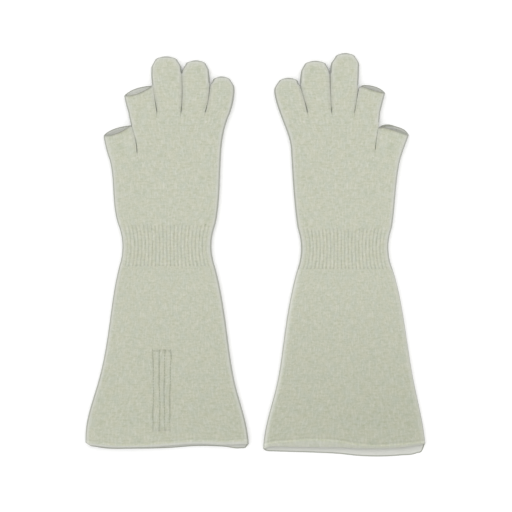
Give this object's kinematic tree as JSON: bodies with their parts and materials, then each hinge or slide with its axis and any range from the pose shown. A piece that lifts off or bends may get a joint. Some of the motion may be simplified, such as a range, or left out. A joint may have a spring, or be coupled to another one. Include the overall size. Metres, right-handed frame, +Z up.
{
  "type": "knitted gauntlet gloves",
  "caption": "Long knitted gauntlet gloves for both hands, lying flat, with flared cuffs, ribbed wrists, and open-ended thumbs and index fingers.",
  "frame": {"origin": "middle of the pair's bounding box, on the surface that the gloves lie on", "axes": "+X to the right across the pair, +Y towards the fingertips, +Z up out of the palms"},
  "size_m": [0.307, 0.3614, 0.0083],
  "materials": {
    "plain_knit": "matte fine-gauge knit",
    "rib_knit": "matte ribbed knit",
    "edge_knit": "matte knit, rolled edge",
    "stitch_thread": "satin sewing thread",
    "elastic": "matte covered elastic",
    "tape": "matte woven tape"
  },
  "bodies": {
    "left_glove": {"left_palm": "plain_knit", "left_hand": "plain_knit"},
    "left_thumb": {"left_thumb_tube": "plain_knit", "left_thumb_edge": "edge_knit"},
    "left_index": {"left_index_tube": "plain_knit", "left_index_edge": "edge_knit"},
    "left_middle": {"left_middle_tube": "plain_knit", "left_middle_tip": "plain_knit"},
    "left_ring": {"left_ring_tube": "plain_knit", "left_ring_tip": "plain_knit"},
    "left_little": {"left_little_tube": "plain_knit", "left_little_tip": "plain_knit"},
    "left_cuff": {"left_wrist_rib": "rib_knit", "left_wrist_elastic": "elastic", "left_cuff": "plain_knit", "left_cuff_hem": "edge_knit", "left_cuff_stitches": "stitch_thread", "left_cuff_tape": "tape"},
    "right_glove": {"right_palm": "plain_knit", "right_hand": "plain_knit"},
    "right_thumb": {"right_thumb_tube": "plain_knit", "right_thumb_edge": "edge_knit"},
    "right_index": {"right_index_tube": "plain_knit", "right_index_edge": "edge_knit"},
    "right_middle": {"right_middle_tube": "plain_knit", "right_middle_tip": "plain_knit"},
    "right_ring": {"right_ring_tube": "plain_knit", "right_ring_tip": "plain_knit"},
    "right_little": {"right_little_tube": "plain_knit", "right_little_tip": "plain_knit"},
    "right_cuff": {"right_wrist_rib": "rib_knit", "right_wrist_elastic": "elastic", "right_cuff": "plain_knit", "right_cuff_hem": "edge_knit"}
  },
  "joints": [
    {"name": "left_thumb_flex", "type": "hinge", "parent": "left_glove", "child": "left_thumb", "pos_m": [-0.12023, 0.09181, 0.004], "axis": [0.9678, 0.2516, 0], "range_deg": [0, 80]},
    {"name": "left_index_flex", "type": "hinge", "parent": "left_glove", "child": "left_index", "pos_m": [-0.10185, 0.1315, 0.004], "axis": [1, 0, 0], "range_deg": [0, 90]},
    {"name": "left_middle_flex", "type": "hinge", "parent": "left_glove", "child": "left_middle", "pos_m": [-0.07805, 0.1315, 0.004], "axis": [1, 0, 0], "range_deg": [0, 90]},
    {"name": "left_ring_flex", "type": "hinge", "parent": "left_glove", "child": "left_ring", "pos_m": [-0.05625, 0.1315, 0.004], "axis": [1, 0, 0], "range_deg": [0, 90]},
    {"name": "left_little_flex", "type": "hinge", "parent": "left_glove", "child": "left_little", "pos_m": [-0.03415, 0.1315, 0.004], "axis": [1, 0, 0], "range_deg": [0, 90]},
    {"name": "left_wrist_flex", "type": "hinge", "parent": "left_glove", "child": "left_cuff", "pos_m": [-0.08015, 0.0226, 0.004], "axis": [-1, 0, 0], "range_deg": [0, 70]},
    {"name": "right_thumb_flex", "type": "hinge", "parent": "right_glove", "child": "right_thumb", "pos_m": [0.12044, 0.09442, 0.004], "axis": [0.9577, -0.2877, 0], "range_deg": [0, 80]},
    {"name": "right_index_flex", "type": "hinge", "parent": "right_glove", "child": "right_index", "pos_m": [0.1007, 0.1315, 0.004], "axis": [1, 0, 0], "range_deg": [0, 90]},
    {"name": "right_middle_flex", "type": "hinge", "parent": "right_glove", "child": "right_middle", "pos_m": [0.0788, 0.1315, 0.004], "axis": [1, 0, 0], "range_deg": [0, 90]},
    {"name": "right_ring_flex", "type": "hinge", "parent": "right_glove", "child": "right_ring", "pos_m": [0.05755, 0.1315, 0.004], "axis": [1, 0, 0], "range_deg": [0, 90]},
    {"name": "right_little_flex", "type": "hinge", "parent": "right_glove", "child": "right_little", "pos_m": [0.0342, 0.1315, 0.004], "axis": [1, 0, 0], "range_deg": [0, 90]},
    {"name": "right_wrist_flex", "type": "hinge", "parent": "right_glove", "child": "right_cuff", "pos_m": [0.08025, 0.019, 0.004], "axis": [-1, 0, 0], "range_deg": [0, 70]},
    {"name": "right_glove_lift", "type": "slide", "parent": "left_glove", "child": "right_glove", "axis": [0, 0, 1], "range_m": [0, 0.15]}
  ]
}
